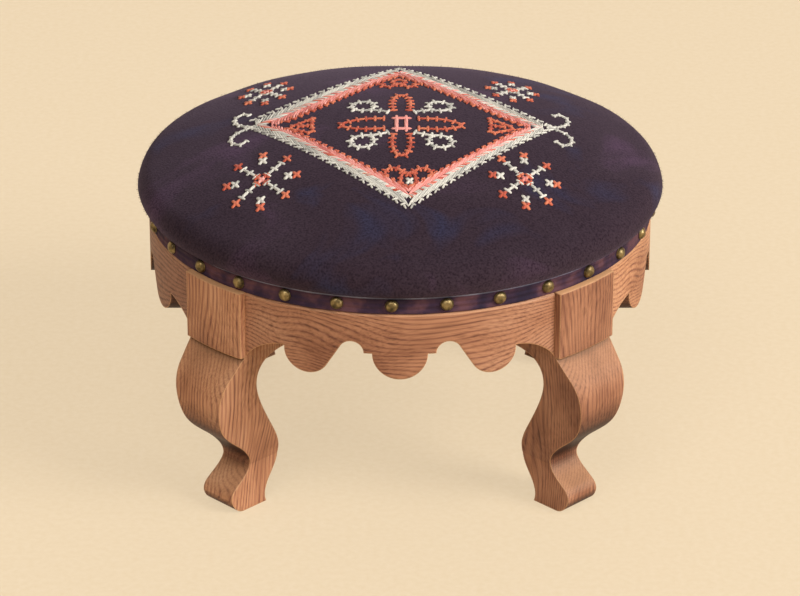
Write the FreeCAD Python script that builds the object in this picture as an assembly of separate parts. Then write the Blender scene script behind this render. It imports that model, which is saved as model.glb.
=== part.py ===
import FreeCAD
import Part
import math
import os

# A round footstool, in millimetres. +Z is up, the floor is at zero under the middle of the seat,
# and the front of the stool faces -Y. Four sawn cabriole legs carry four curved, scalloped rails.
# A round board lies on them, and the stuffed velvet top is nailed round the edge of that board.

# Sawn cabriole legs, each cut from one square block
leg_height = 134.0            # floor to the underside of the square head
head_height = 52.0
head_width = 57.0             # along the rails
head_depth = 54.0             # from the outer face towards the middle of the stool
head_proud = 5.0              # how far the head's rounded face stands out past the rails
# Outline seen from the side of a leg, from the head down to the floor and up again inside.
# Each pair is a share of the head's depth, inwards from its face, and a share of the leg's height.
leg_outer_shares = [
    (0.12, 1.0), (-0.10, 0.90), (-0.25, 0.80), (-0.27, 0.68), (-0.16, 0.54), (0.24, 0.385),
    (0.41, 0.265), (0.19, 0.165), (0.05, 0.10), (0.09, 0.04), (0.26, 0.0),
]
leg_inner_shares = [
    (0.68, 0.0), (0.67, 0.075), (0.88, 0.205), (0.94, 0.31), (0.81, 0.44), (0.49, 0.67),
    (0.39, 0.80), (0.45, 0.905), (0.65, 0.955), (1.0, 0.97),
]
# Straight tapers seen from the front of a leg: a share of half the head's width, and one of the leg's height.
leg_taper_shares = [(1.0, 1.0), (0.50, 0.26), (0.56, 0.0)]
leg_saw_tolerance = 0.3       # how far the sawn arcs may leave the smooth outline

# Curved rails, with a lobe in the middle, an arch on each side of it and a lobe beyond each arch
rail_radius = 189.0           # outside face
rail_thickness = 22.0
rail_arris = 1.6              # bevel along the top outer edge
lobe_depth = 51.5             # top of a rail to the lowest point of a lobe
step_depth = 33.0             # top of a rail to the corner beyond an outer lobe
# Sizes along a rail, as shares of the clear length from its middle to a head
middle_lobe_share = 0.179     # radius
shelf_share = 0.054           # short flat beside the middle lobe
arch_share = 0.080            # radius
outer_lobe_share = 0.147      # radius
outer_place_share = 0.598     # middle of the rail to the middle of an outer lobe
bracket_share = 0.040         # how far the last stretch, down to the head, is hollowed

# Tenons at the ends of the rails, and the mortises for them in the heads
tenon_thickness = 9.0
tenon_height = 26.0
tenon_length = 16.0
tenon_shoulder = 9.0          # top of a rail to the top of its tenon
mortise_spare = 1.0           # glue room past the end of a tenon

# Round seat board and the blocks glued under it, against the rails
seat_inset = 3.0              # edge of the board to the outside face of the rails
seat_thickness = 14.0
block_length = 40.0
block_leg = 18.0              # the two square sides of a block's triangular section
block_nose = 4.0              # flat left where the triangle's sharp corners were planed off
block_turn = 20.0             # degrees from the middle of a rail to the middle of a block

# Stuffed top: hair stuffing with velvet over it
velvet_thickness = 1.4
velvet_hem_lift = 1.0         # frame to the cut edge of the velvet
cushion_overhang = 10.5       # edge of the board to the widest part of the swell
swell_rise = 9.0              # top of the board to the widest part
shoulder_radius = 15.0        # from the widest part up to the crown
crown_height = 57.5           # top of the board to the top of the velvet
edge_steps = 4                # straight runs in each rounded part of the velvet's edge
hidden_steps = 3              # straight runs in each of the outline's arcs, under the velvet

# Band round the edge of the board, and the domed nails through it
band_thickness = 1.4
band_joint_gap = 0.5          # where the two ends of the band meet, at the back
nail_count = 30
nail_turn = -1.8              # degrees from the middle of the front to the nearest nail
nail_head_radius = 4.75
nail_head_height = 3.4
nail_sides = 8                # flats round a nail's head, which are few because the nails are many
# The rings of a nail's dome: a share of its radius, and a share of its height.
nail_dome_shares = [(1.0, 0.0), (0.80, 0.62), (0.38, 1.0)]
nail_shank_width = 1.6        # square
nail_shank_length = 12.0

overrun = 2.0                 # how far a cutting or joining shape runs past the surface it meets

# Levels, radii and directions that follow from the sizes above
frame_top = leg_height + head_height
seat_top = frame_top + seat_thickness
head_face = rail_radius + head_proud
rail_inside = rail_radius - rail_thickness
seat_radius = rail_radius - seat_inset
cushion_radius = seat_radius + cushion_overhang
cover_radius = seat_radius + velvet_thickness
band_radius = cover_radius + band_thickness
nail_height = frame_top + seat_thickness / 2
axis_up = FreeCAD.Vector(0, 0, 1)
origin = FreeCAD.Vector(0, 0, 0)
corner_turn = 45.0            # degrees from the middle of a rail to the middle of a leg
quarter_turn = 90.0
half_turn = 2 * quarter_turn
full_turn = 4 * quarter_turn
# The degrees that turn a piece from +X to its place. The front of the stool is at -90 degrees.
rail_turns = {"front": -90.0, "right": 0.0, "rear": 90.0, "left": 180.0}
leg_turns = {"front_right": -45.0, "rear_right": 45.0, "rear_left": 135.0, "front_left": -135.0}
block_sides = {"right": -1, "left": 1}


def vector(x, y, z):
    return FreeCAD.Vector(x, y, z)


def turned(shape, degrees):
    """A copy of a shape turned about the stool's upright axis."""
    copy = shape.copy()
    copy.rotate(origin, axis_up, degrees)
    return copy


def smooth_edges(points):
    """A smooth run of arcs through the points."""
    curve = Part.BSplineCurve()
    curve.interpolate(points)
    return [arc.toShape() for arc in curve.toBiArcs(leg_saw_tolerance)]


def straight_edges(points):
    """Straight edges from each point to the next."""
    return [Part.makeLine(start, end) for start, end in zip(points, points[1:])]


def prism(edges, sweep):
    """A closed outline swept along a vector."""
    wire = Part.Wire(Part.__sortEdges__(edges))
    return Part.Face(wire).extrude(sweep)


def turning(edges):
    """A closed outline in the XZ plane spun about the upright axis."""
    wire = Part.Wire(Part.__sortEdges__(edges))
    return Part.Face(wire).revolve(origin, axis_up, full_turn)


# Legs


def leg_side_prism():
    """The leg's S-shaped outline, sawn across the whole width of the block."""
    half = head_width / 2

    def place(share):
        return vector(head_face - share[0] * head_depth, -half, share[1] * leg_height)

    outer = [place(share) for share in leg_outer_shares]
    inner = [place(share) for share in leg_inner_shares]
    back_corner = vector(head_face - head_depth, -half, leg_height)
    edges = smooth_edges(outer) + smooth_edges(inner)
    edges += straight_edges([outer[-1], inner[0]])
    edges += straight_edges([inner[-1], back_corner, outer[0]])
    return prism(edges, vector(0, head_width, 0))


def leg_front_prism():
    """The tapers that narrow the leg from its head to its ankle, sawn through from front to back."""
    half = head_width / 2
    back = head_face - head_depth - overrun
    right = [vector(back, share[0] * half, share[1] * leg_height) for share in leg_taper_shares]
    left = [vector(point.x, -point.y, point.z) for point in reversed(right)]
    outline = straight_edges(right + left + right[:1])
    return prism(outline, vector(2 * head_depth + overrun, 0, 0))


def tenon(side, spare):
    """A tenon where it lies in a head whose middle is on +X; side is 1 or -1, across the head."""
    middle = math.sqrt((rail_radius - rail_thickness / 2) ** 2 - (head_width / 2) ** 2)
    length = tenon_length + spare
    depth = head_width / 2 - length
    box = Part.makeBox(
        tenon_thickness, length + overrun, tenon_height,
        vector(middle - tenon_thickness / 2, depth, frame_top - tenon_shoulder - tenon_height),
    )
    return box if side > 0 else box.mirror(origin, vector(0, 1, 0))


def leg():
    """A leg with its middle on +X: square head, knee, ankle and scrolled toe in one piece."""
    shaped = leg_side_prism().common(leg_front_prism())
    head = Part.makeBox(
        head_depth, head_width, head_height, vector(head_face - head_depth, -head_width / 2, leg_height)
    )
    round_face = Part.makeCylinder(head_face, head_height, vector(0, 0, leg_height))
    body = head.common(round_face).fuse(shaped).removeSplitter()
    mortises = [tenon(side, mortise_spare) for side in (-1, 1)]
    return body.cut(mortises)


# Rails


def rail_ring():
    """The full ring that the four rails are cut from, with its top outer edge bevelled."""
    bottom = frame_top - lobe_depth
    points = [
        vector(rail_inside, 0, bottom), vector(rail_radius, 0, bottom),
        vector(rail_radius, 0, frame_top - rail_arris), vector(rail_radius - rail_arris, 0, frame_top),
        vector(rail_inside, 0, frame_top), vector(rail_inside, 0, bottom),
    ]
    return turning(straight_edges(points))


def scallop_edges():
    """The lower outline of half a rail, from its middle to past the head, seen from inside the stool."""

    def place(across, depth):
        return vector(0, across, frame_top - depth)

    def on_circle(across, depth, radius, degrees):
        angle = math.radians(degrees)
        return place(across + radius * math.cos(angle), depth - radius * math.sin(angle))

    def arc(across, depth, radius, start, end):
        angles = (start, (start + end) / 2, end)
        points = [on_circle(across, depth, radius, degrees) for degrees in angles]
        return Part.Arc(*points).toShape(), points[0], points[2]

    meet = math.sqrt(rail_radius ** 2 - (head_width / 2) ** 2) - head_width / 2
    clear = meet * math.sin(math.radians(corner_turn))
    middle_lobe_radius = middle_lobe_share * clear
    arch_radius = arch_share * clear
    outer_lobe_radius = outer_lobe_share * clear
    outer_lobe_place = outer_place_share * clear
    shelf_depth = lobe_depth - middle_lobe_radius
    arch_place = middle_lobe_radius + shelf_share * clear + arch_radius
    outer_depth = lobe_depth - outer_lobe_radius
    # The straight slope touches the arch and the outer lobe, which it passes between.
    run = outer_lobe_place - arch_place
    fall = outer_depth - shelf_depth
    lean = math.acos((arch_radius + outer_lobe_radius) / math.hypot(run, fall))
    touch = math.degrees(lean - math.atan2(fall, run))

    middle_arc, _, middle_end = arc(0, shelf_depth, middle_lobe_radius, 3 * quarter_turn, full_turn)
    arch_arc, arch_start, arch_end = arc(arch_place, shelf_depth, arch_radius, half_turn, touch)
    outer_arc, outer_start, outer_end = arc(
        outer_lobe_place, outer_depth, outer_lobe_radius, half_turn + touch, full_turn
    )
    corner = place(outer_lobe_place + outer_lobe_radius, step_depth)

    bracket_end = place(clear, lobe_depth)
    chord = bracket_end - corner
    square = vector(0, -chord.z, chord.y).normalize()
    bracket_middle = (corner + bracket_end) / 2 + square * bracket_share * clear
    bracket_arc = Part.Arc(corner, bracket_middle, bracket_end).toShape()
    past_head = place(clear + overrun, lobe_depth)
    top_end = place(clear + overrun, -overrun)

    edges = [middle_arc, arch_arc, outer_arc, bracket_arc]
    edges += straight_edges([middle_end, arch_start])
    edges += straight_edges([arch_end, outer_start])
    edges += straight_edges([outer_end, corner])
    edges += straight_edges([bracket_end, past_head, top_end, place(0, -overrun)])
    return edges


def rail(ring):
    """A rail with its middle on +X, scalloped below, with a tenon at each end."""
    half = scallop_edges()
    other_half = [edge.mirror(origin, vector(0, 1, 0)) for edge in half]
    outline = prism(half + other_half, vector(rail_radius + overrun, 0, 0))
    tall = lobe_depth + 2 * overrun
    corner = vector(0, -head_width / 2, frame_top - lobe_depth - overrun)
    gap = Part.makeBox(rail_radius + head_proud + overrun, head_width, tall, corner)
    body = ring.common(outline).cut([turned(gap, corner_turn), turned(gap, -corner_turn)])
    body = body.fuse([turned(tenon(-1, 0), corner_turn), turned(tenon(1, 0), -corner_turn)])
    return body.removeSplitter()


def glue_block(side):
    """A planed triangular block under the board, hollowed to fit the inside of a rail."""
    back = rail_inside + overrun
    front = rail_inside - block_leg
    low = frame_top - block_leg
    start = -block_length / 2
    points = [
        vector(back, start, frame_top), vector(front, start, frame_top),
        vector(front, start, frame_top - block_nose), vector(rail_inside - block_nose, start, low),
        vector(back, start, low), vector(back, start, frame_top),
    ]
    stock = prism(straight_edges(points), vector(0, block_length, 0))
    hollow = Part.makeCylinder(rail_inside, block_leg, vector(0, 0, low))
    return turned(stock.common(hollow), side * block_turn)


# Seat board


def seat_board(shanks):
    """The round board, with the nails' holes in its edge."""
    return Part.makeCylinder(seat_radius, seat_thickness, vector(0, 0, frame_top)).cut(shanks)


# Stuffed top


def on_arc(middle, radius, angle):
    """A point on an arc in the XZ plane, by its angle above level."""
    return middle + vector(radius * math.cos(angle), 0, radius * math.sin(angle))


def cushion_arcs():
    """The three arcs of the top's outline, from the board up: (middle, radius, start angle, end angle)."""
    widest_level = seat_top + swell_rise
    # The swell starts at the edge of the covered board and ends upright at the widest part.
    swell = cushion_radius - cover_radius
    swell_radius = (swell ** 2 + swell_rise ** 2) / (2 * swell)
    swell_middle = vector(cushion_radius - swell_radius, 0, widest_level)
    swell_start = -2 * math.atan2(swell, swell_rise)
    # The crown has its middle on the upright axis and touches the shoulder.
    rise = crown_height - swell_rise
    reach = cushion_radius - shoulder_radius
    crown_radius = (reach ** 2 + rise ** 2 - shoulder_radius ** 2) / (2 * (rise - shoulder_radius))
    crown_middle = vector(0, 0, seat_top + crown_height - crown_radius)
    touch = math.acos(reach / (crown_radius - shoulder_radius))
    return [
        (swell_middle, swell_radius, swell_start, 0),
        (vector(reach, 0, widest_level), shoulder_radius, 0, touch),
        (crown_middle, crown_radius, touch, math.pi / 2),
    ]


def points_along(arcs, inset, steps):
    """Points that divide each arc of the top's outline into even steps, inset by a thickness."""
    points = []
    for middle, radius, start, end in arcs:
        for step in range(steps):
            angle = start + (end - start) * step / steps
            points.append(on_arc(middle, radius - inset, angle))
    return points


def stuffing_points():
    """The stuffing's outline, in straight runs, from the edge of the board to the top."""
    board_edge = vector(seat_radius, 0, seat_top)
    top = vector(0, 0, seat_top + crown_height - velvet_thickness)
    return [board_edge] + points_along(cushion_arcs(), velvet_thickness, hidden_steps) + [top]


def stuffing():
    """The hair stuffing, which lies on the board and swells past its edge."""
    points = stuffing_points()
    return turning(straight_edges(points + [vector(0, 0, seat_top), points[0]]))


def velvet_cover(shanks):
    """The velvet, close over the stuffing and down the edge of the board, pierced by the nails."""
    swell, shoulder, (middle, radius, start, end) = cushion_arcs()
    crown = [on_arc(middle, radius, angle) for angle in (start, (start + end) / 2, end)]
    outside = points_along((swell, shoulder), 0, edge_steps)
    inside = stuffing_points()
    hem = frame_top + velvet_hem_lift
    edges = straight_edges(outside + crown[:1]) + [Part.Arc(*crown).toShape()]
    edges += straight_edges(crown[-1:] + inside[::-1])
    edges += straight_edges([
        inside[0], vector(seat_radius, 0, hem), vector(cover_radius, 0, hem), outside[0],
    ])
    return turning(edges).cut(shanks)


# Band and nails


def nail_band(shanks):
    """A strip round the edge of the board, its ends butted at the back."""
    low = vector(0, 0, frame_top)
    strip = Part.makeCylinder(band_radius, seat_thickness, low)
    strip = strip.cut(Part.makeCylinder(cover_radius, seat_thickness, low))
    joint = Part.makeBox(
        band_joint_gap, band_thickness + 2 * overrun, seat_thickness,
        vector(-band_joint_gap / 2, cover_radius - overrun, frame_top),
    )
    return strip.cut(joint).cut(shanks)


def nail_places():
    """The degrees that turn each nail from +X to its place, from the front round."""
    return [rail_turns["front"] + nail_turn + full_turn * index / nail_count for index in range(nail_count)]


def nail_shank(past_band):
    """A nail's square shank on +X, from the band's face inwards, drawn out past the band by a length."""
    half = nail_shank_width / 2
    corner = vector(band_radius - nail_shank_length, -half, nail_height - half)
    return Part.makeBox(nail_shank_length + past_band, nail_shank_width, nail_shank_width, corner)


def nail():
    """A domed nail on +X, its head against the band."""
    rings = []
    for radius_share, height_share in nail_dome_shares:
        radius = radius_share * nail_head_radius
        middle = vector(band_radius + height_share * nail_head_height, 0, nail_height)
        angles = [math.radians(full_turn) * side / nail_sides for side in range(nail_sides + 1)]
        rings.append(Part.makePolygon([
            middle + vector(0, radius * math.cos(angle), radius * math.sin(angle)) for angle in angles
        ]))
    return Part.makeLoft(rings, True, True).fuse(nail_shank(0))


def write_part(name, shape):
    if not shape.isValid():
        print("not valid:", name)
    print(f"{name}: {len(shape.Solids)} solid, {shape.Volume / 1000:.1f} cm3")
    shape.exportStep(os.path.join("parts", name + ".step"))


def main():
    os.makedirs("parts", exist_ok=True)
    plain_leg = leg()
    for name, degrees in leg_turns.items():
        write_part("leg_" + name, turned(plain_leg, degrees))
    plain_rail = rail(rail_ring())
    for name, degrees in rail_turns.items():
        write_part("rail_" + name, turned(plain_rail, degrees))
        for side_name, side in block_sides.items():
            write_part(f"glue_block_{name}_{side_name}", turned(glue_block(side), degrees))
    shanks = [turned(nail_shank(overrun), degrees) for degrees in nail_places()]
    write_part("seat_board", seat_board(shanks))
    write_part("stuffing", stuffing())
    write_part("velvet_cover", velvet_cover(shanks))
    write_part("nail_band", nail_band(shanks))
    write_part("band_nails", Part.makeCompound([turned(nail(), degrees) for degrees in nail_places()]))


main()
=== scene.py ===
import math
import random

import bmesh
import bpy
from mathutils import Matrix, Vector
from mathutils.bvhtree import BVHTree


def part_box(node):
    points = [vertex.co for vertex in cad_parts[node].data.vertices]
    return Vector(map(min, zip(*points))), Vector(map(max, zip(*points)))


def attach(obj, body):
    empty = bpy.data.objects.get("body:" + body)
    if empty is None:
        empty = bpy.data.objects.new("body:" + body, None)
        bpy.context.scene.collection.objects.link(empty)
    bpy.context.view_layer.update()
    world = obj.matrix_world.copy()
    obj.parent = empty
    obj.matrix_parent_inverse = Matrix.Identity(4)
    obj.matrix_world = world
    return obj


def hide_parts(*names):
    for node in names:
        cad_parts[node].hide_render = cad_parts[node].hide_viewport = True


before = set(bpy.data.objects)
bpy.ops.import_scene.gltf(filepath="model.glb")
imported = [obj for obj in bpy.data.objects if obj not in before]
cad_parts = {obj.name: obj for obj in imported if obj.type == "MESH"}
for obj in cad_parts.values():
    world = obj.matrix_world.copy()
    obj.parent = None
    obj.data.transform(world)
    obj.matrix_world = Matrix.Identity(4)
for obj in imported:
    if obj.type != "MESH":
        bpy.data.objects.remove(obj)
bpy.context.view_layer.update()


# Legs
# Each is sawn from one block of cherry with the grain upright, then shaved smooth, stained and waxed.
# A head's two mortises take the rails' tenons. Use has rubbed the stain off the arrises, and their paler
# colour is also a painted highlight.

millimetre = 0.001


def linear(code):
    """A colour written as sRGB hex, such as C08A62, in Blender's linear values."""
    colour = []
    for place in (0, 2, 4):
        share = int(code[place:place + 2], 16) / 255
        colour.append(share / 12.92 if share <= 0.04045 else ((share + 0.055) / 1.055) ** 2.4)
    return colour + [1.0]


def add_node(tree, kind, sockets=None, stops=None, **settings):
    """Adds a node. Each socket gets a value or another node's socket, and a colour ramp gets its stops."""
    node = tree.nodes.new("ShaderNode" + kind)
    for name, value in settings.items():
        setattr(node, name, value)
    for name, value in (sockets or {}).items():
        if isinstance(value, bpy.types.NodeSocket):
            tree.links.new(value, node.inputs[name])
        else:
            node.inputs[name].default_value = value
    for place, code in stops or []:
        node.color_ramp.elements.new(place).color = linear(code)
    if stops:
        node.color_ramp.elements.remove(node.color_ramp.elements[0])
        node.color_ramp.elements.remove(node.color_ramp.elements[-1])
    return node


def new_material(name):
    """A material with its node tree and its surface shader."""
    material = bpy.data.materials.new(name)
    material.use_nodes = True
    return material, material.node_tree, material.node_tree.nodes["Principled BSDF"]


def along_grain(tree, place, turn, lay, pith):
    """Places in the tree, with its grain upright: drawn out along the grain, and swayed as the trunk grew."""
    turned = add_node(tree, "Mapping", {"Vector": place, "Rotation": (0, 0, -math.radians(turn))})
    laid = add_node(tree, "Mapping", {
        "Vector": turned.outputs[0],
        "Rotation": [math.radians(angle) for angle in lay],
        "Location": [-length * millimetre for length in pith],
    }).outputs[0]

    # The trunk's slow waves are about 55 mm across.
    drawn_out = add_node(tree, "Mapping", {"Vector": laid, "Scale": (1, 1, 0.4)}).outputs[0]
    wave = add_node(tree, "TexNoise", {"Vector": drawn_out, "Scale": 1 / (55 * millimetre), "Detail": 1.0})
    sway = add_node(tree, "VectorMath", {0: wave.outputs["Color"], 1: (0.5, 0.5, 0.5)}, operation="SUBTRACT")
    sway = add_node(tree, "VectorMath", {0: sway.outputs[0], "Scale": 36 * millimetre}, operation="SCALE")
    swayed = add_node(tree, "VectorMath", {0: laid, 1: sway.outputs[0]}, operation="ADD").outputs[0]
    return drawn_out, swayed


def growth_rings(tree, swayed, ring_width, shades):
    """The colour of growth rings round the pith, each from pale early wood to a dark line."""
    # Blender's rings repeat every 2 pi / 20 over the scale. Streaks 2 mm apart and 60 mm long fade the lines.
    rings = add_node(tree, "TexWave", {
        "Vector": swayed, "Scale": 0.1 * math.pi / (ring_width * millimetre), "Distortion": 0.4,
        "Detail": 1.0, "Detail Scale": 1.0,
    }, wave_type="RINGS", rings_direction="Z", wave_profile="SIN").outputs["Fac"]
    streaky = add_node(tree, "Mapping", {"Vector": swayed, "Scale": (1, 1, 0.035)}).outputs[0]
    streak = add_node(tree, "TexNoise", {"Vector": streaky, "Scale": 1 / (2 * millimetre), "Detail": 2.0})
    broken = add_node(tree, "MapRange", {
        "Value": streak.outputs["Fac"], "From Min": 0.3, "From Max": 0.7, "To Min": -0.08, "To Max": 0.34,
    }).outputs["Result"]
    growth = add_node(tree, "Math", {0: rings, 1: broken}, operation="ADD").outputs[0]
    light, middle, dark, line = shades
    return add_node(tree, "ValToRGB", {"Fac": growth}, [
        (0.0, line), (0.14, dark), (0.34, middle), (0.95, light),
    ]).outputs["Color"]


def stain_and_painted_shade(tree, colour, fibre, drawn_out, upwards):
    """Darkens the wood between its fibres and in patches of deeper stain, and paints shade into hollows and
    undersides.
    """
    fibre_shade = add_node(tree, "ValToRGB", {"Fac": fibre}, [
        (0.30, "CFC8C2"), (0.52, "F6F2EE"), (0.75, "FFFFFF"),
    ]).outputs["Color"]
    stain = add_node(tree, "TexNoise", {"Vector": drawn_out, "Scale": 1 / (40 * millimetre), "Detail": 3.0})
    stain_shade = add_node(tree, "ValToRGB", {"Fac": stain.outputs["Fac"]}, [
        (0.34, "CDBBB2"), (0.50, "F4ECE6"), (0.64, "FFFFFF"),
    ]).outputs["Color"]

    # Painted shade lies dark in the hollows and under the heads, with less of it on faces that look upwards.
    # Undersides are painted darker as shade.
    shelter = add_node(tree, "AmbientOcclusion", {
        "Distance": 60 * millimetre,
    }, samples=6, only_local=True).outputs["AO"]
    painted_shade_and_tarnish = add_node(tree, "ValToRGB", {"Fac": shelter}, [
        (0.45, "4A332C"), (0.68, "6E5044"), (0.84, "A3887A"), (0.96, "FFFFFF"),
    ]).outputs["Color"]
    painted_shade_share = add_node(tree, "MapRange", {
        "Value": upwards, "From Min": 0.40, "From Max": 0.75, "To Min": 1.0, "To Max": 0.4,
    }).outputs["Result"]
    # Painted shade on faces that look downwards.
    underside = add_node(tree, "MapRange", {
        "Value": upwards, "From Min": -0.55, "From Max": -0.05, "To Min": 0.0, "To Max": 1.0,
    }).outputs["Result"]
    underside_painted_shade = add_node(tree, "ValToRGB", {"Fac": underside}, [(0.0, "7C5E52"), (1.0, "FFFFFF")]).outputs["Color"]
    for share, layer in ((1.0, fibre_shade), (1.0, stain_shade), (painted_shade_share, painted_shade_and_tarnish), (1.0, underside_painted_shade)):
        colour = add_node(tree, "Mix", {
            0: share, 6: colour, 7: layer,
        }, data_type="RGBA", blend_type="MULTIPLY").outputs[2]
    return colour


def rubbed_and_lit_share(tree, place, facing, upwards, eased, edge_wear_and_highlight):
    """How far the colour goes to the pale worn colour: in patches on the arrises, as wear and painted
    highlight, and on faces that look upwards, as painted light.
    """
    # Arrises are made paler as wear and as a painted highlight.
    agree = add_node(tree, "VectorMath", {0: eased, 1: facing}, operation="DOT_PRODUCT").outputs["Value"]
    rubbed_and_lit = add_node(tree, "MapRange", {
        "Value": agree, "From Min": 0.97, "From Max": 0.80, "To Min": 0.0, "To Max": edge_wear_and_highlight,
    }).outputs["Result"]
    patchy = add_node(tree, "TexNoise", {"Vector": place, "Scale": 1 / (14 * millimetre), "Detail": 2.0})
    rubbed_and_lit = add_node(tree, "Math", {0: rubbed_and_lit, 1: patchy.outputs["Fac"]}, operation="MULTIPLY").outputs[0]
    # Faces that look upwards are made paler as painted light.
    upward_painted_light = add_node(tree, "MapRange", {
        "Value": upwards, "From Min": 0.15, "From Max": 0.95, "To Min": 0.0, "To Max": 0.28,
    }).outputs["Result"]
    # Flat tops are painted paler still as light.
    flat_top_painted_light = add_node(tree, "MapRange", {
        "Value": upwards, "From Min": 0.95, "From Max": 0.99, "To Min": 0.0, "To Max": 0.85,
    }).outputs["Result"]
    for share in (upward_painted_light, flat_top_painted_light):
        rubbed_and_lit = add_node(tree, "Math", {0: rubbed_and_lit, 1: share}, operation="MAXIMUM").outputs[0]
    return rubbed_and_lit


def sawn_wood(name, turn, lay, pith, ring_width, shades, worn_and_lit, edge_wear_and_highlight):
    """Wood whose growth rings are cut by the piece's own faces, with fine fibre, painted shade, arrises paler
    as wear and painted highlight, and upward faces paler as painted light.

    turn is the piece's direction round the stool and lay the turns that bring its grain upright, in degrees.
    pith is the place of the tree's middle in that position and ring_width the ring spacing, in millimetres.
    """
    material, tree, shader = new_material(name)
    place = add_node(tree, "TexCoord").outputs["Object"]
    facing = add_node(tree, "NewGeometry").outputs["True Normal"]
    upwards = add_node(tree, "SeparateXYZ", {"Vector": facing}).outputs["Z"]
    drawn_out, swayed = along_grain(tree, place, turn, lay, pith)

    # Fibres lie under a millimetre apart, and arrises are eased by 2 mm.
    fine = add_node(tree, "Mapping", {"Vector": swayed, "Scale": (1, 1, 0.03)}).outputs[0]
    fibre = add_node(tree, "TexNoise", {"Vector": fine, "Scale": 1 / (0.9 * millimetre), "Detail": 3.0})
    fibre = fibre.outputs["Fac"]
    eased = add_node(tree, "Bevel", {"Radius": 2.0 * millimetre}, samples=6).outputs["Normal"]

    bare = growth_rings(tree, swayed, ring_width, shades)
    # The stain, with painted shade in the hollows and on the undersides.
    stained_and_shaded = stain_and_painted_shade(tree, bare, fibre, drawn_out, upwards)
    rubbed_and_lit = rubbed_and_lit_share(tree, place, facing, upwards, eased, edge_wear_and_highlight)
    # The pale worn colour also paints highlight on the arrises and light on the upward faces.
    colour = add_node(tree, "Mix", {0: rubbed_and_lit, 6: stained_and_shaded, 7: linear(worn_and_lit)}, data_type="RGBA").outputs[2]
    bump = add_node(tree, "Bump", {
        "Height": fibre, "Normal": eased, "Strength": 0.25, "Distance": 0.1 * millimetre,
    })
    gloss = add_node(tree, "MapRange", {
        "Value": fibre, "From Min": 0.3, "From Max": 0.7, "To Min": 0.62, "To Max": 0.48,
    })
    tree.links.new(colour, shader.inputs["Base Color"])
    tree.links.new(gloss.outputs["Result"], shader.inputs["Roughness"])
    tree.links.new(bump.outputs["Normal"], shader.inputs["Normal"])
    shader.inputs["Specular IOR Level"].default_value = 0.35
    return material


def dress(node, material):
    """Puts a finish on a CAD piece that keeps its shape."""
    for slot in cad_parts[node].material_slots:
        slot.material = material


# Woods are given by four shades, from the early wood to the dark line.
# The fair and the deep cherry are lit and shaded copies of one wood: their difference is partly tone and
# partly painted light and shade.
lit_fair_cherry = ("CA9874", "BC8868", "A27057", "865745")
shaded_deep_cherry = ("B48466", "A6775C", "90624D", "764C3C")
# The pale colour of worn arrises, also used as painted highlight and painted light.
cherry_worn_and_lit = "DDA878"
cherry_edge_wear_and_highlight = 1.4

# Each leg's direction round the stool in degrees, how far aside the middle of its tree lies, and its shades.
# The front left leg's fair shades are partly painted light, and the front right leg's deep ones partly
# painted shade.
legs = {
    "front_right": (-45, -98, shaded_deep_cherry),
    "rear_right": (45, 92, lit_fair_cherry),
    "rear_left": (135, -104, shaded_deep_cherry),
    "front_left": (-135, 90, lit_fair_cherry),
}
leg_lay = (2, 4, 0)
leg_pith_out = 96
leg_ring = 2.6
for leg, (turn, pith_aside, shades) in legs.items():
    leg_cherry = sawn_wood(
        "waxed_cherry_leg_" + leg, turn, leg_lay, (leg_pith_out, pith_aside, 0), leg_ring,
        shades, cherry_worn_and_lit, cherry_edge_wear_and_highlight,
    )
    dress("leg_" + leg, leg_cherry)


# Rails
# Each is sawn to a curve from thick cherry with the grain along its chord. A tenon at each end is glued
# into a head, and the lower edge is cut into lobes and arches with a bow saw.

# The left rail's darkest shades are painted shade.
shaded_dark_cherry = ("966A54", "8A5F4B", "764C3D", "5F3B30")

# Each rail's direction round the stool in degrees, how far out the middle of its tree lies, and its shades.
# The right rail's fair shades are partly painted light, and the front rail's deep ones partly painted shade.
rails = {
    "front": (-90, 150, shaded_deep_cherry),
    "right": (0, 139, lit_fair_cherry),
    "rear": (90, 158, shaded_deep_cherry),
    "left": (180, 144, shaded_dark_cherry),
}
rail_lay = (90, 5, 0)
rail_pith_level = -96
rail_ring = 3.0
for rail, (turn, pith_out, shades) in rails.items():
    rail_cherry = sawn_wood(
        "waxed_cherry_rail_" + rail, turn, rail_lay, (pith_out, rail_pith_level, 0), rail_ring,
        shades, cherry_worn_and_lit, cherry_edge_wear_and_highlight,
    )
    dress("rail_" + rail, rail_cherry)


# Seat board and glue blocks
# The board is unstained pine, planed on both sides, and lies on the rails and the heads. Short planed
# blocks of the same pine are glued under it, against the insides of the rails.

pine = ("C9A67A", "BD976A", "A47B50", "86603C")
# The pale colour of worn edges, also used as painted highlight and painted light.
pine_worn_and_lit = "D0B087"
board_turn = 0
board_lay = (90, 2, 0)
board_pith = (60, -120, 0)
board_ring = 6.5
board_edge_wear_and_highlight = 0.6
board_pine = sawn_wood(
    "planed_pine_board", board_turn, board_lay, board_pith, board_ring, pine, pine_worn_and_lit, board_edge_wear_and_highlight,
)
dress("seat_board", board_pine)
block_lay = (90, 3, 0)
block_pith = (130, -140, 0)
block_ring = 5.0
block_edge_wear_and_highlight = 0.8
for rail, (turn, _, _) in rails.items():
    for side in ("left", "right"):
        block_pine = sawn_wood(
            f"planed_pine_block_{rail}_{side}", turn, block_lay, block_pith, block_ring,
            pine, pine_worn_and_lit, block_edge_wear_and_highlight,
        )
        dress(f"glue_block_{rail}_{side}", block_pine)


# Cushion
# Curled hair is heaped on the board and velvet is drawn down over it and nailed round the edge, so the top
# has a low crown, a soft shoulder and a swell above the nails. The form starts a little low and is filled
# out as cloth under pressure, held where the nails hold it.

scene = bpy.context.scene


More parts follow.
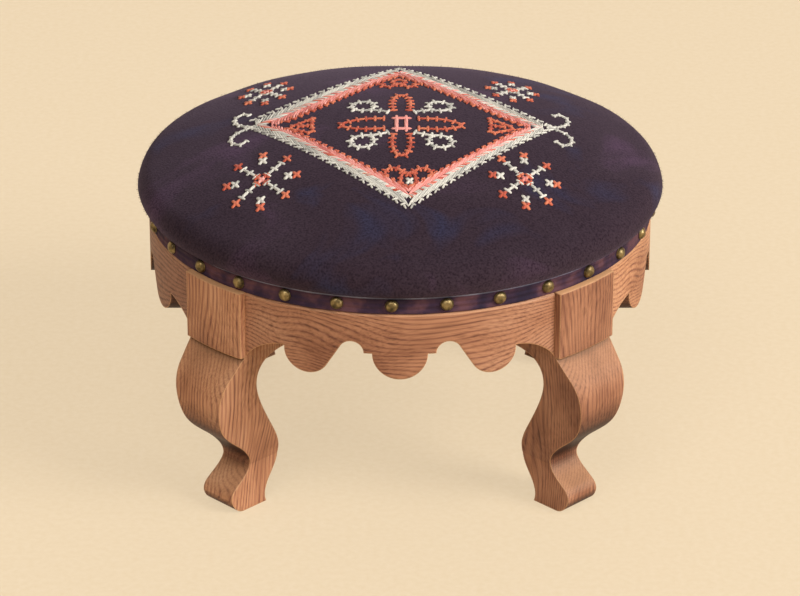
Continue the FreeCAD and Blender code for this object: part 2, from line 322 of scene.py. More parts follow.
def place_piece(name, mesh, material):
    """A finished piece at the origin, with smooth faces, that rides with the stool."""
    mesh.materials.clear()
    mesh.materials.append(material)
    mesh.shade_smooth()
    piece = bpy.data.objects.new(name, mesh)
    scene.collection.objects.link(piece)
    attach(piece, "root")
    return piece


def mesh_from(name, shape):
    """Ends a bmesh as a mesh with its doubles merged and its faces pointing outwards."""
    bmesh.ops.remove_doubles(shape, verts=shape.verts, dist=0.01 * millimetre)
    bmesh.ops.recalc_face_normals(shape, faces=shape.faces)
    mesh = bpy.data.meshes.new(name)
    shape.to_mesh(mesh)
    shape.free()
    return mesh


def with_modifiers(obj):
    """The mesh that an object's modifiers give."""
    graph = bpy.context.evaluated_depsgraph_get()
    return bpy.data.meshes.new_from_object(obj.evaluated_get(graph), depsgraph=graph)


def spaced(points, count):
    """Places at even lengths along a run of points."""
    lengths = [0.0]
    for start, end in zip(points, points[1:]):
        lengths.append(lengths[-1] + (end - start).length)
    places = []
    piece = 0
    for index in range(count + 1):
        want = lengths[-1] * index / count
        while piece < len(points) - 2 and lengths[piece + 1] < want:
            piece += 1
        share = (want - lengths[piece]) / (lengths[piece + 1] - lengths[piece])
        places.append(points[piece].lerp(points[piece + 1], share))
    return places


_, board_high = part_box("seat_board")
_, velvet_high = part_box("velvet_cover")
seat_level = board_high.z
velvet_thickness = 1.4 * millimetre
rim_radius = board_high.x + velvet_thickness
swell_rise = 9 * millimetre
shoulder_radius = 15 * millimetre
skirt_depth = 6 * millimetre
outline_steps = 14
crown_rings = 26
edge_rings = 18


def cushion_outline(widest, top):
    """Places down the side of the top from its middle: crown, shoulder, swell and turn-down at the nails."""
    swell = widest - rim_radius
    swell_radius = (swell ** 2 + swell_rise ** 2) / (2 * swell)
    rise = top - seat_level - swell_rise
    reach = widest - shoulder_radius
    crown_radius = (reach ** 2 + rise ** 2 - shoulder_radius ** 2) / (2 * (rise - shoulder_radius))
    touch = math.acos(reach / (crown_radius - shoulder_radius))
    widest_level = seat_level + swell_rise
    arcs = [
        (0, top - crown_radius, crown_radius, math.pi / 2, touch),
        (reach, widest_level, shoulder_radius, touch, 0),
        (widest - swell_radius, widest_level, swell_radius, 0, -2 * math.atan2(swell, swell_rise)),
    ]
    points = []
    for across, level, radius, start, end in arcs:
        for step in range(outline_steps):
            angle = start + (end - start) * step / outline_steps
            points.append(Vector((across + radius * math.cos(angle), level + radius * math.sin(angle))))
    points += [Vector((rim_radius, seat_level)), Vector((rim_radius, seat_level - skirt_depth))]
    crown, edge = points[:outline_steps + 1], points[outline_steps:]
    return spaced(crown, crown_rings)[:-1] + spaced(edge, edge_rings)


# A square grid is drawn round, ring by ring, so that the cloth has even, four-sided cells.
pile_beyond = 1.8 * millimetre
start_sink = 1.5 * millimetre
outline = cushion_outline(velvet_high.x + pile_beyond, velvet_high.z - start_sink)
cloth_rings = crown_rings + edge_rings
sheet = bmesh.new()
bmesh.ops.create_grid(sheet, x_segments=2 * cloth_rings, y_segments=2 * cloth_rings, size=1.0)
for vert in sheet.verts:
    x, y = vert.co.x, vert.co.y
    ring = max(abs(x), abs(y))
    if abs(x) < abs(y):
        angle = math.pi / 2 - math.pi / 4 * x / y + (math.pi if y < 0 else 0)
    else:
        angle = math.pi / 4 * y / (x or 1) + (math.pi if x < 0 else 0)
    across, level = outline[round(ring * cloth_rings)]
    vert.co = (across * math.cos(angle), across * math.sin(angle), level)
filling = bpy.data.objects.new("filling", mesh_from("filling", sheet))
scene.collection.objects.link(filling)
start_places = [vert.co.copy() for vert in filling.data.vertices]

nailed = filling.vertex_groups.new(name="nailed")
nailed_rise = 1.0 * millimetre
held = [vert.index for vert in filling.data.vertices if vert.co.z < seat_level + nailed_rise]
nailed.add(held, 1.0, "REPLACE")
most_swelling = 1.8 * millimetre
spread_strokes = 10
last_frame = 12

cloth = filling.modifiers.new("velvet", "CLOTH")
cloth.settings.quality = 5
cloth.settings.use_pressure = True
cloth.settings.uniform_pressure_force = 4
cloth.settings.effector_weights.gravity = 0
cloth.settings.vertex_group_mass = "nailed"
cloth.collision_settings.use_collision = False
cloth.point_cache.frame_end = last_frame
for step in range(1, last_frame + 1):
    scene.frame_set(step)
swollen = with_modifiers(filling)
filling.modifiers.remove(cloth)
moves = [end.co - start for start, end in zip(start_places, swollen.vertices)]
for move in moves:
    if move.length > most_swelling:
        move.length = most_swelling

# The hair below spreads each push to its neighbours, so no fine ripples are left.
near = [[] for vert in start_places]
for side in filling.data.edges:
    first, second = side.vertices
    near[first].append(second)
    near[second].append(first)
for stroke in range(spread_strokes):
    spread = []
    for move, others in zip(moves, near):
        pushes = [moves[other] for other in others] + [move]
        spread.append(sum(pushes, Vector()) / len(pushes))
    for index in held:
        spread[index] = Vector()
    moves = spread
for vert, start, move in zip(filling.data.vertices, start_places, moves):
    vert.co = start + move
scene.frame_set(1)

subdivide = filling.modifiers.new("finer", "SUBSURF")
subdivide.levels = 1
subdivide.render_levels = 1
sheet = bmesh.new()
sheet.from_mesh(with_modifiers(filling))
bpy.data.objects.remove(filling)

# The edge is turned in against the board and the underside is closed on it.
edge = [side for side in sheet.edges if side.is_boundary]
fold_clearance = 0.2 * millimetre
underside_clearance = 0.1 * millimetre
turn_ins = [
    (board_high.x + fold_clearance, seat_level - skirt_depth),
    (board_high.x, seat_level + underside_clearance),
]
for across, level in turn_ins:
    turned = bmesh.ops.extrude_edge_only(sheet, edges=edge)["geom"]
    edge = [side for side in turned if isinstance(side, bmesh.types.BMEdge) and side.is_boundary]
    for vert in {vert for side in edge for vert in side.verts}:
        vert.co = vert.co.xy.normalized().to_3d() * across + Vector((0, 0, level))
bmesh.ops.triangle_fill(sheet, use_beauty=True, use_dissolve=False, edges=edge)
velvet_mesh = mesh_from("velvet_cushion", sheet)

# Cotton velvet, dyed dark. The short upright pile is nearly black seen from above and shows a faint violet
# bloom at a glance along it. Where it has been stroked, blue and plum patches of painted sheen lie in its
# colour. Its tufts are drawn 1.5 mm across, coarser than they are, so that they show.
velvet, tree, shader = new_material("cotton_velvet")
place = add_node(tree, "TexCoord").outputs["Object"]
patch = add_node(tree, "TexNoise", {
    "Vector": place, "Scale": 1 / (80 * millimetre), "Detail": 3.0, "Distortion": 0.6,
})
# Blue and plum patches of painted sheen over the dark dyed colour.
colour_and_painted_sheen = add_node(tree, "ValToRGB", {"Fac": patch.outputs["Fac"]}, [
    (0.26, "2E324A"), (0.42, "34282F"), (0.57, "382C33"), (0.74, "4E3A4C"),
]).outputs["Color"]
pile = add_node(tree, "TexNoise", {"Vector": place, "Scale": 1 / (1.5 * millimetre), "Detail": 2.0})
pile = pile.outputs["Fac"]
pile_shade = add_node(tree, "ValToRGB", {"Fac": pile}, [
    (0.30, "A89FA8"), (0.55, "F0ECF0"), (0.75, "FFFFFF"),
]).outputs["Color"]
velvet_colour = add_node(tree, "Mix", {
    0: 1.0, 6: colour_and_painted_sheen, 7: pile_shade,
}, data_type="RGBA", blend_type="MULTIPLY").outputs[2]
pile_bump = add_node(tree, "Bump", {"Height": pile, "Strength": 0.6, "Distance": 0.6 * millimetre})
tree.links.new(velvet_colour, shader.inputs["Base Color"])
tree.links.new(pile_bump.outputs["Normal"], shader.inputs["Normal"])
shader.inputs["Roughness"].default_value = 0.95
shader.inputs["Specular IOR Level"].default_value = 0.05
shader.inputs["Sheen Weight"].default_value = 0.19
shader.inputs["Sheen Roughness"].default_value = 0.5
shader.inputs["Sheen Tint"].default_value = linear("B09CB8")

cushion = place_piece("velvet_cushion", velvet_mesh, velvet)
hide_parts("velvet_cover", "stuffing")

# Loose pile stands up all over the velvet as fine hairs, which roughen its edge against the light. Half of
# each hair is below the surface.
random.seed(3)
hair_length = 1.7 * millimetre
hair_width = 0.16 * millimetre
hair_count = 9000
hair_lean = 0.6
lowest_hair = seat_level + 2 * millimetre
hair_form = bmesh.new()
bmesh.ops.create_cone(
    hair_form, segments=3, radius1=hair_width, radius2=0, depth=2 * hair_length, cap_ends=False,
)
one_hair = mesh_from("hair", hair_form)
fuzz = bmesh.new()
for face in random.choices(velvet_mesh.polygons, k=hair_count):
    if face.center.z < lowest_hair:
        continue
    lean = Vector([random.uniform(-hair_lean, hair_lean) for axis in range(3)])
    leaning = (face.normal + lean).to_track_quat("Z", "Y").to_matrix().to_4x4()
    hair = one_hair.copy()
    hair.transform(Matrix.Translation(face.center) @ leaning)
    fuzz.from_mesh(hair)
    bpy.data.meshes.remove(hair)
fuzz_mesh = bpy.data.meshes.new("velvet_fuzz")
fuzz.to_mesh(fuzz_mesh)
fuzz.free()
place_piece("velvet_fuzz", fuzz_mesh, velvet)


# Wool work
# The velvet is worked in thick crewel wool: a bordered diamond, a flower in its middle, a small motif in
# each of its corners, and four star flowers outside it. Each stitch is a short strand that goes into the
# cloth at both ends. Places are plan millimetres from the middle of the top.

random.seed(7)
velvet_surface = BVHTree.FromPolygons(
    [vert.co for vert in velvet_mesh.vertices], [face.vertices for face in velvet_mesh.polygons]
)
above_everything = 1.0
strand_height = 1.9
strand_fullness = 0.45
strand_rise = 0.15 * strand_height
strand_half_length = 0.54
wool_work = {"white": bmesh.new(), "pink": bmesh.new(), "red": bmesh.new()}

# One strand is a ball with blunt ends, which each stitch stretches from one place to a little past another.
strand_form = bmesh.new()
strand_form.loops.layers.uv.new("strand")
bmesh.ops.create_uvsphere(strand_form, u_segments=6, v_segments=5, radius=1.0, calc_uvs=True)
for vert in strand_form.verts:
    thickness = vert.co.xy.length
    if thickness > 0:
        vert.co.xy *= thickness ** -strand_fullness
one_strand = bpy.data.meshes.new("strand")
strand_form.to_mesh(one_strand)
strand_form.free()
one_strand.attributes.new("dye", "FLOAT", "POINT")


def on_velvet(spot):
    """The place on the velvet under a plan point, and the direction out of the cloth there."""
    high = Vector((spot[0] * millimetre, spot[1] * millimetre, above_everything))
    found, outwards, _, _ = velvet_surface.ray_cast(high, Vector((0, 0, -1)))
    return found, outwards


def stitch(wool, start, end, width):
    """One strand between two plan points, with its own depth of dye."""
    low, low_out = on_velvet(start)
    high, high_out = on_velvet(end)
    along = high - low
    across = along.cross(low_out + high_out).normalized()
    outwards = across.cross(along).normalized()
    middle = (low + high) / 2 + outwards * strand_rise * millimetre
    width *= random.uniform(0.9, 1.1)
    sizes = (
        across * width * millimetre / 2,
        outwards * strand_height * millimetre / 2,
        along * strand_half_length,
    )
    place = Matrix((*[size.to_4d() for size in sizes], middle.to_4d())).transposed()
    place[3] = (0, 0, 0, 1)
    strand = one_strand.copy()
    strand.transform(place)
    strand.attributes["dye"].data.foreach_set("value", [random.random()] * len(strand.vertices))
    wool_work[wool].from_mesh(strand)
    bpy.data.meshes.remove(strand)


curve_steps = 8


def smooth_run(points, spacing):
    """Evenly spaced places on a smooth curve through a few points."""
    points = [Vector(point) for point in points]
    ends = [2 * points[0] - points[1]] + points + [2 * points[-1] - points[-2]]
    fine = []
    for before, start, end, after in zip(ends, ends[1:], ends[2:], ends[3:]):
        for step in range(curve_steps):
            t = step / curve_steps
            bend = (2 * before - 5 * start + 4 * end - after) * t ** 2
            bend += (3 * start - before - 3 * end + after) * t ** 3
            fine.append(start + ((end - before) * t + bend) / 2)
    fine.append(points[-1])
    length = sum((end - start).length for start, end in zip(fine, fine[1:]))
    return spaced(fine, max(1, round(length / spacing)))


line_width = 2.8
line_spacing = 6.6
barb_width = 2.6
barb_reach = Vector((3.2, 4.6))
knot_width = 3.3


def barbed_line(wool, points, spacing=line_spacing, reach=barb_reach):
    """A line of strands end to end, with a short strand across each joint."""
    run = smooth_run(points, spacing)
    for start, end in zip(run, run[1:]):
        stitch(wool, start, end, line_width)
    for index, spot in enumerate(run):
        ahead = run[min(index + 1, len(run) - 1)] - run[max(index - 1, 0)]
        aside = Vector((-ahead.y, ahead.x)).normalized() * reach
        stitch(wool, spot - aside, spot + aside, barb_width)


def knot(wool, centre, reach):
    """Two thick strands crossed."""
    for lean in (Vector((1, 1)), Vector((1, -1))):
        stitch(wool, centre - lean * reach, centre + lean * reach, knot_width)


# The diamond's border, from outside in: forked white spurs, slanted white strands, flecks of all the wools,
# slanted pink and red strands, and red knots with spurs towards the middle. Its sides bow a little on the
# plan, so that they look straight from in front, over the dome.
border_outside = [(-117, 15), (0, 139), (114, 8), (6, -128)]
border_inside = [(-92, 4), (-1, 108), (94, 1), (6, -106)]
front_bow_out = 6
rear_bow_in = 11

# A strand of the border is its two ends, each by its millimetres along the side and its share of the way
# inwards, and its width.
white_strand = ((-9, 0.02), (9, 0.38), 1.5)
fleck_strand = ((3, 0.36), (-3, 0.61), 1.5)
pink_strand = ((-8, 0.59), (8, 0.85), 1.5)
inner_strand = ((-4, 0.81), (4, 0.97), 1.8)
long_spur = ((-2, 0.12), (4, -0.18), 2.0)
fork_spur = ((1, -0.05), (-2, -0.18), 1.8)
inner_spur = ((0, 0.90), (-2, 1.16), 2.2)
crossing_spur = ((-4, 1.04), (2, 1.07), 2.0)
fleck_wools = ("white", "white", "white", "pink", "red")
inner_wools = ("pink", "pink", "red")
strand_spacing = 4.2
spur_spacing = 9.0


def border_spot(side, along, inwards):
    """A plan point on one side of the border, which bows most halfway along."""
    outer_start, outer_end, inner_start, inner_end, bow = side
    share = min(max(along / (outer_end - outer_start).length, 0), 1)
    straight = outer_start.lerp(outer_end, share).lerp(inner_start.lerp(inner_end, share), inwards)
    return straight - Vector((0, 4 * bow * share * (1 - share)))


def border_stitch(side, along, wool, strand, lean=1):
    """One strand at a place along a side of the border. A lean of -1 turns it the other way."""
    start, end, width = strand
    spots = [border_spot(side, along + step * lean, inwards) for step, inwards in (start, end)]
    stitch(wool, *spots, width)


for corner in range(4):
    ends = (corner, (corner + 1) % 4) if corner % 2 else ((corner + 1) % 4, corner)
    side_ends = [Vector(border[end]) for border in (border_outside, border_inside) for end in ends]
    behind = corner < 2
    side = (*side_ends, rear_bow_in if behind else front_bow_out)
    side_length = (side_ends[1] - side_ends[0]).length
    for index in range(int(side_length / strand_spacing) + 1):
        along = index * strand_spacing
        border_stitch(side, along, "white", white_strand)
        for step in (0, strand_spacing / 2):
            border_stitch(side, along + step, random.choice(fleck_wools), fleck_strand)
        border_stitch(side, along, "pink", pink_strand)
        border_stitch(side, along, inner_wools[index % len(inner_wools)], inner_strand)
    lean = -1 if behind else 1
    for index in range(int(side_length / spur_spacing)):
        along = (index + 0.5) * spur_spacing
        border_stitch(side, along, "white", long_spur, lean)
        border_stitch(side, along, "white", fork_spur, lean)
        border_stitch(side, along, "red", inner_spur, lean)
        border_stitch(side, along, "red", crossing_spur)

# The flower: a pink lattice in the middle, two long red arches, two red leaves and four white petals.
flower_middle = Vector((1, -7))
lattice_middle = Vector((1, -10))


def flipped(points, across, back, middle=flower_middle):
    """A motif's points about a middle, flipped across or front to back."""
    return [middle + Vector((across * x, back * y)) for x, y in points]


lattice_across = [(-7.5, 9.5), (7.5, 9.5)]
lattice_back = [(-3.6, -15), (-3.6, 15)]
lattice_width = 3.6
arch = [(-6, 22), (-7, 36), (-5, 50), (-2, 56), (2, 56), (5, 50), (7, 36), (6, 22)]
leaf = [(13, 9), (30, 9), (42, 4), (47, 0), (42, -4), (30, -9), (13, -9)]
petal = [(10, 19), (20, 23), (30, 23), (36, 26), (38, 33), (35, 40), (28, 42), (22, 40), (20, 32), (22, 24)]
for back in (-1, 1):
    lattice_bar = flipped(lattice_across, 1, back, lattice_middle)
    stitch("pink", lattice_bar[0], lattice_bar[1], lattice_width)
    barbed_line("red", flipped(arch, 1, back))
for across in (-1, 1):
    lattice_bar = flipped(lattice_back, across, 1, lattice_middle)
    stitch("pink", lattice_bar[0], lattice_bar[1], lattice_width)
    barbed_line("red", flipped(leaf, across, 1, lattice_middle))
    for back in (-1, 1):
        barbed_line("white", flipped(petal, across, back))

# The corners: a small red triangle at each side, and a red bow with a loop behind and in front. The front
# loop holds a white knot.
side_triangle = [(66, 15), (67, 2), (66, -12), (74, -7), (84, 2), (74, 9), (66, 15)]
side_middle = [(70, 2), (77, 2)]
short_barb = Vector((2.2, 3.0))
close_spacing = 6.0
closest_spacing = 4.0
for across in (-1, 1):
    barbed_line("red", flipped(side_triangle, across, 1), close_spacing, short_barb)
    barbed_line("red", flipped(side_middle, across, 1), closest_spacing, short_barb)
rear_corner = Vector((-1, 77))
rear_bow = [(0, 3), (4, -3), (8, -7), (12, -4), (13, 2)]
rear_loop = [(3, 2), (5, 8), (4, 13), (0, 16)]
front_corner = Vector((6, -88))
front_bow = [(0, 0), (5, 4), (10, 9), (16, 6), (17, -1)]
front_loop = [(4, 1), (6, -7), (5, -13), (0, -17)]
for across in (-1, 1):
    barbed_line("red", flipped(rear_bow, across, 1, rear_corner), close_spacing)
    barbed_line("red", flipped(rear_loop, across, 1, rear_corner), close_spacing, short_barb)
    barbed_line("red", flipped(front_bow, across, 1, front_corner), close_spacing)
    barbed_line("red", flipped(front_loop, across, 1, front_corner), close_spacing, short_barb)
knot_reach = Vector((2.9, 4.6))
small_knot = 0.8
front_knot = front_corner + Vector((1, -9))
knot("white", front_knot, knot_reach * small_knot)

# White ram's horns beyond the two side corners.
horn_up = [(110, 15), (118, 19), (125, 29), (125, 42), (119, 47), (115, 42)]
horn_down = [(110, 15), (119, 12), (126, 5), (127, -7), (120, -14), (115, -9)]
for across in (-1, 1):
    for horn in (horn_up, horn_down):
        barbed_line("white", flipped(horn, across, 1), line_spacing, short_barb)

# The stars: a red and pink middle, four barbed white arms with red ends, and a white and a red knot between
# each two arms. Each is its middle and its reach across and back. Its stitches lie at shares of the reach.
stars = [((-101, -80), (25, 34)), ((91, -82), (23, 33)), ((-103, 90), (18, 31)), ((86, 84), (18, 27))]
arm_ends = (0.16, 0.56)
arm_spacing = 8.0
arm_tip = 0.72
arm_foot = 0.13
white_ray = 0.78
red_ray = 1.02
full_knot_reach = 36
for middle, reach in stars:
    star_middle = Vector(middle)
    star_reach = Vector(reach)
    star_knot = knot_reach * (star_reach.y / full_knot_reach)
    for x, y in ((1, 1), (1, -1), (-1, 1), (-1, -1)):
        way = Vector((x, y)) * star_reach
        barbed_line("white", [star_middle + way * share for share in arm_ends], arm_spacing)
        knot("red", star_middle + way * arm_tip, star_knot)
        knot("red", star_middle + way * arm_foot, star_knot * small_knot)
    for x, y in ((1, 0), (-1, 0), (0, 1), (0, -1)):
        way = Vector((x, y)) * star_reach
        knot("white", star_middle + way * white_ray, star_knot)
        knot("red", star_middle + way * red_ray, star_knot)
    knot("pink", star_middle, star_knot)

# Crewel wool, two-ply and dyed, each strand a little different. The plies' twist shows as slanted ridges,
# with painted light and shade on them, and it is soft and without gloss.
wool_shades = {
    "white": ("98958D", "C6C0B4", "DDD7C9"),
    "pink": ("C86C62", "E28D82", "EEA89B"),
    "red": ("963E2D", "BE5842", "D07856"),
}
ply_slant = math.radians(35)
for wool, (wool_dark, wool_middle, wool_light) in wool_shades.items():
    material, tree, shader = new_material("crewel_wool_" + wool)
    strand = add_node(tree, "TexCoord")
    ply = add_node(tree, "Mapping", {"Vector": strand.outputs["UV"], "Rotation": (0, 0, ply_slant)})
    twist = add_node(tree, "TexWave", {"Vector": ply.outputs[0], "Scale": 1.6, "Distortion": 1.0})
    twist = twist.outputs["Fac"]
    dye = add_node(tree, "Attribute", attribute_name="dye").outputs["Fac"]
    # A share of the twist goes into the colour as painted light and shade on the ridges.
    dye_and_painted_ridges = add_node(tree, "Mix", {0: 0.3, 2: dye, 3: twist}).outputs[0]
    wool_colour = add_node(tree, "ValToRGB", {"Fac": dye_and_painted_ridges}, [
        (0.10, wool_dark), (0.40, wool_middle), (0.85, wool_light),
    ])
    ridges = add_node(tree, "Bump", {"Height": twist, "Strength": 0.5, "Distance": 0.3 * millimetre})
    tree.links.new(wool_colour.outputs["Color"], shader.inputs["Base Color"])
    tree.links.new(ridges.outputs["Normal"], shader.inputs["Normal"])
    shader.inputs["Roughness"].default_value = 0.9
    shader.inputs["Specular IOR Level"].default_value = 0.2
    shader.inputs["Sheen Weight"].default_value = 0.1
    threads = bpy.data.meshes.new("wool_" + wool)
    wool_work[wool].to_mesh(threads)
    wool_work[wool].free()
    place_piece("wool_" + wool, threads, material)


# Band
# A strip of thin goat leather, folded edge up, goes round the board over the raw edge of the velvet. Its
# ends butt at the back. Between the nails it stands off a little and its upper edge waves.

band_low, band_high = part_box("nail_band")
band_radius = band_high.x
band_thickness = 1.3 * millimetre
band_edge = 0.5 * millimetre
band_foot = band_low.z + 0.2 * millimetre
band_top = band_high.z + 0.3 * millimetre
butt_gap = 0.5 * millimetre
band_cuts = 5
band_steps = 360
strip = bmesh.new()
corners = [
    (band_radius - band_thickness, band_foot), (band_radius, band_foot),
    (band_radius, band_top), (band_radius - band_thickness, band_top),
]
section = [strip.verts.new((across, 0, level)) for across, level in corners]
strip.faces.new(section)
bmesh.ops.bevel(
    strip, geom=strip.verts[:], offset=band_edge, affect="VERTICES", segments=3, profile=0.5, material=-1,
)
long_edges = [edge for edge in strip.edges if edge.calc_length() > band_thickness]
bmesh.ops.subdivide_edges(strip, edges=long_edges, cuts=band_cuts)
bmesh.ops.delete(strip, geom=strip.faces[:], context="FACES_ONLY")
bmesh.ops.rotate(strip, verts=strip.verts[:], cent=(0, 0, 0), matrix=Matrix.Rotation(math.pi / 2, 3, "Z"))
bmesh.ops.spin(
    strip, geom=strip.verts[:] + strip.edges[:], cent=(0, 0, 0), axis=(0, 0, 1),
    angle=2 * math.pi - butt_gap / band_radius, steps=band_steps,
)
bmesh.ops.holes_fill(strip, edges=[edge for edge in strip.edges if edge.is_boundary])

# Between nails the strip stands off, most along its upper edge and least along its middle. Long and short
# ripples run round that edge.
nail_count = 30
nail_start = math.radians(-90 - 1.8)
band_slack = 0.35 * millimetre
foot_slack = 0.4
middle_slack = 0.2
ripple_height = 0.22 * millimetre
long_ripples = 47
short_ripples = 83
short_share = 0.7
ripple_start = 1.3
for vert in strip.verts:
    angle = math.atan2(vert.co.y, vert.co.x)
    from_nail = 1 - math.cos((angle - nail_start) * nail_count)
    up_band = (vert.co.z - band_foot) / (band_top - band_foot)
    lift = band_slack * from_nail * (foot_slack + (1 - foot_slack) * up_band)
    lift *= middle_slack + (1 - middle_slack) * abs(2 * up_band - 1)
    vert.co += Vector((math.cos(angle), math.sin(angle), 0)) * lift
    ripple = math.sin(angle * long_ripples + ripple_start) + short_share * math.sin(angle * short_ripples)
    vert.co.z += ripple_height * ripple * up_band

# Goat leather, dyed plum and worn brown. Its pebbled grain is a millimetre or so across, and a pale blue-grey
# painted highlight runs along the folded edge.
leather, tree, shader = new_material("goat_leather")
place = add_node(tree, "TexCoord").outputs["Object"]
pebble = add_node(tree, "TexVoronoi", {"Vector": place, "Scale": 1 / (1.3 * millimetre)}).outputs["Distance"]
cloud = add_node(tree, "TexNoise", {"Vector": place, "Scale": 1 / (16 * millimetre), "Detail": 5.0})
cloud = cloud.outputs["Fac"]
hide = add_node(tree, "ValToRGB", {"Fac": cloud}, [
    (0.34, "241C2E"), (0.48, "362536"), (0.64, "583A42"),
]).outputs["Color"]
height = add_node(tree, "SeparateXYZ", {"Vector": place}).outputs["Z"]
# The painted highlight fades in from 2.5 mm below the top edge and is full 1.2 mm below it.
highlight_start = band_top - 2.5 * millimetre
highlight_full = band_top - 1.2 * millimetre
edge_highlight_reach = add_node(tree, "MapRange", {
    "Value": height, "From Min": highlight_start, "From Max": highlight_full, "To Min": 0.0, "To Max": 1.5,
}).outputs["Result"]
painted_edge_highlight = add_node(tree, "Math", {0: edge_highlight_reach, 1: cloud}, operation="MULTIPLY").outputs[0]
# The leather's colour takes the pale blue-grey painted highlight here.
hide = add_node(tree, "Mix", {0: painted_edge_highlight, 6: hide, 7: linear("A4AAC4")}, data_type="RGBA").outputs[2]
grain = add_node(tree, "Bump", {"Height": pebble, "Strength": 0.25, "Distance": 0.2 * millimetre})
tree.links.new(hide, shader.inputs["Base Color"])
tree.links.new(grain.outputs["Normal"], shader.inputs["Normal"])
shader.inputs["Roughness"].default_value = 0.8
shader.inputs["Specular IOR Level"].default_value = 0.15
band = place_piece("leather_band", mesh_from("leather_band", strip), leather)
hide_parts("nail_band")


# Nails
# Thirty domed upholstery nails of stamped brass, driven through the band. Each has a thin rolled rim, and
# no two went in quite straight.

nail_radius = 4.9 * millimetre
nail_height = 3.6 * millimetre
nail_stand_off = 0.25 * millimetre
nail_level = (band_low.z + band_high.z) / 2
nail_sides = 24
most_lean = math.radians(4)

# The hammer's dents are waves of 7 mm across a dome and 8 mm up it, given in radians a metre.
dents_across = 900
dents_up = 800
dent_depth = 0.06

# A nail's outline, from the rim to the top of the dome, in shares of its radius and height.
nail_rim = [(0.93, -0.10), (1.0, 0.0), (0.98, 0.10)]
dome_steps = 8
dome_angles = [step * math.pi / (2 * dome_steps) for step in range(dome_steps + 1)]
nail_dome = [(0.94 * math.cos(angle), 0.16 + 0.84 * math.sin(angle)) for angle in dome_angles]
nail_outline = nail_rim + nail_dome
nails = bmesh.new()
for index in range(nail_count):
    nail = bmesh.new()
    sweep = [nail.verts.new((across * nail_radius, 0, up * nail_height)) for across, up in nail_outline]
    edges = [nail.edges.new(pair) for pair in zip(sweep, sweep[1:])]
    bmesh.ops.spin(
        nail, geom=sweep + edges, cent=(0, 0, 0), axis=(0, 0, 1), angle=2 * math.pi, steps=nail_sides,
        use_merge=True,
    )
    for vert in nail.verts:
        dent = math.sin(dents_across * vert.co.x + index) * math.cos(dents_up * vert.co.y + 2 * index)
        vert.co.z *= 1 + dent_depth * dent
    lean = Matrix.Rotation(random.uniform(-most_lean, most_lean), 4, "X")
    lean @= Matrix.Rotation(random.uniform(-most_lean, most_lean), 4, "Y")
    outwards = Matrix.Rotation(math.pi / 2, 4, "Y")
    on_band = Matrix.Translation((band_radius + nail_stand_off, 0, nail_level))
    around = Matrix.Rotation(nail_start + 2 * math.pi * index / nail_count, 4, "Z")
    nail.transform(around @ on_band @ outwards @ lean)
    one_nail = mesh_from("nail", nail)
    nails.from_mesh(one_nail)
    bpy.data.meshes.remove(one_nail)

# Stamped brass, never polished since. It is olive-brown on the dome and browned to near black round the rim,
# with small dents from the hammer.
brass, tree, shader = new_material("aged_brass")
place = add_node(tree, "TexCoord").outputs["Object"]
tarnish = add_node(tree, "TexNoise", {"Vector": place, "Scale": 1 / (4 * millimetre), "Detail": 4.0})
tarnish = tarnish.outputs["Fac"]
tone = add_node(tree, "ValToRGB", {"Fac": tarnish}, [
    (0.30, "40382A"), (0.48, "726344"), (0.66, "9C8860"),
]).outputs["Color"]
shelter = add_node(tree, "AmbientOcclusion", {"Distance": 4 * millimetre}, samples=6).outputs["AO"]
painted_shade_and_tarnish = add_node(tree, "ValToRGB", {"Fac": shelter}, [(0.25, "3A3028"), (0.60, "FFFFFF")]).outputs["Color"]
tone = add_node(tree, "Mix", {0: 1.0, 6: tone, 7: painted_shade_and_tarnish}, data_type="RGBA", blend_type="MULTIPLY").outputs[2]
gloss = add_node(tree, "MapRange", {
    "Value": tarnish, "From Min": 0.3, "From Max": 0.7, "To Min": 0.60, "To Max": 0.38,
}).outputs["Result"]
dents = add_node(tree, "TexNoise", {"Vector": place, "Scale": 1 / (2.2 * millimetre), "Detail": 1.0})
hammered = add_node(tree, "Bump", {
    "Height": dents.outputs["Fac"], "Strength": 0.4, "Distance": 0.3 * millimetre,
})
tree.links.new(tone, shader.inputs["Base Color"])
tree.links.new(gloss, shader.inputs["Roughness"])
tree.links.new(hammered.outputs["Normal"], shader.inputs["Normal"])
shader.inputs["Metallic"].default_value = 1.0
brass_nails = place_piece("brass_nails", mesh_from("brass_nails", nails), brass)
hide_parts("band_nails")


# Studio
# A pale cream floor, a broad soft light from the right and in front, a weaker one from the front and a
# little left, a weak one from behind, and an even surround.

scene.view_settings.view_transform = "Standard"
floor_mesh = bmesh.new()
bmesh.ops.create_grid(floor_mesh, x_segments=1, y_segments=1, size=6.0)
paper, tree, shader = new_material("cream_paper")
place = add_node(tree, "TexCoord").outputs["Object"]
tooth = add_node(tree, "TexNoise", {"Vector": place, "Scale": 1 / (5 * millimetre), "Detail": 4.0})
sheet_colour = add_node(tree, "ValToRGB", {"Fac": tooth.outputs["Fac"]}, [(0.3, "EDD6B3"), (0.7, "F1DBBA")])
sheet_colour = sheet_colour.outputs["Color"]
tree.links.new(sheet_colour, shader.inputs["Base Color"])
shader.inputs["Roughness"].default_value = 0.9
shader.inputs["Specular IOR Level"].default_value = 0.1


def seen_directly(tree):
    """1 for what the eye sees, straight, mirrored or through glass, and 0 for light that falls on things."""
    rays = add_node(tree, "LightPath").outputs
    seen = rays["Is Camera Ray"]
    for kind in ("Is Glossy Ray", "Is Transmission Ray"):
        seen = add_node(tree, "Math", {0: seen, 1: rays[kind]}, operation="MAXIMUM").outputs[0]
    return seen


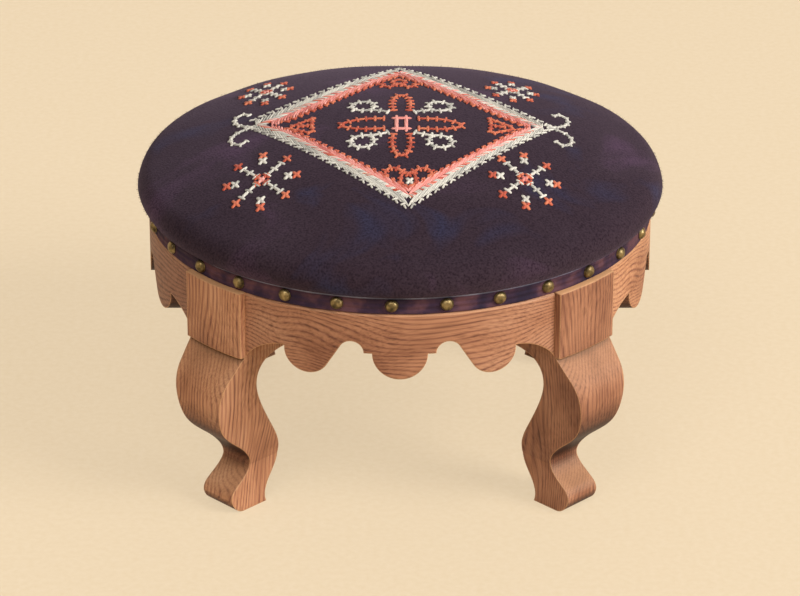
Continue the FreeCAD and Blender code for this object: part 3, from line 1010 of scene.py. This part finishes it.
# To the eye the floor is mostly its own even colour, and the rest shows the shadows.
even_share = 0.78
pale = add_node(tree, "Math", {0: seen_directly(tree), 1: even_share}, operation="MULTIPLY").outputs[0]
glow = add_node(tree, "Emission", {"Color": sheet_colour, "Strength": 1.0}).outputs[0]
surface = add_node(tree, "MixShader", {0: pale, 1: shader.outputs[0], 2: glow}).outputs[0]
tree.links.new(surface, tree.nodes["Material Output"].inputs["Surface"])
floor = bpy.data.objects.new("floor", mesh_from("floor", floor_mesh))
floor.data.materials.append(paper)
scene.collection.objects.link(floor)

# Each lamp's place in metres and its power in watts. All look at the middle of the stool.
lamps = {
    "key": ((4.8, -2.4, 3.4), 440),
    "fill": ((-1.4, -4.0, 4.8), 140),
    "back": ((0.6, 4.4, 4.4), 40),
}
lamp_size = 3.0
lamp_aim = Vector((0, 0, 0.12))
for name, (spot, power) in lamps.items():
    light = bpy.data.lights.new(name, "AREA")
    light.size = lamp_size
    light.energy = power
    lamp = bpy.data.objects.new(name, light)
    lamp.location = spot
    lamp.rotation_euler = (lamp_aim - Vector(spot)).to_track_quat("-Z", "Y").to_euler()
    scene.collection.objects.link(lamp)
world = bpy.data.worlds.new("surround")
world.use_nodes = True
tree = world.node_tree
surround = add_node(tree, "Background", {"Color": linear("FFF6EA"), "Strength": 0.3}).outputs[0]
backdrop = add_node(tree, "Background", {"Color": linear("EFD9B7"), "Strength": 1.0}).outputs[0]
around = add_node(tree, "MixShader", {0: seen_directly(tree), 1: surround, 2: backdrop}).outputs[0]
tree.links.new(around, tree.nodes["World Output"].inputs["Surface"])
scene.world = world

# The stool is seen from straight in front, about 3 m away and 26 degrees above level.
camera_distance = 3.0184
camera_rise = math.radians(25.585)
camera_aim = Vector((0, 0, 0.1088))
camera_data = bpy.data.cameras.new("camera")
camera_data.lens = 178
camera_data.sensor_width = 36
camera_data.sensor_fit = "HORIZONTAL"
camera = bpy.data.objects.new("camera", camera_data)
towards_camera = Vector((0, -math.cos(camera_rise), math.sin(camera_rise)))
camera.location = camera_aim + towards_camera * camera_distance
camera.rotation_euler = (camera_aim - camera.location).to_track_quat("-Z", "Y").to_euler()
scene.collection.objects.link(camera)
scene.camera = camera
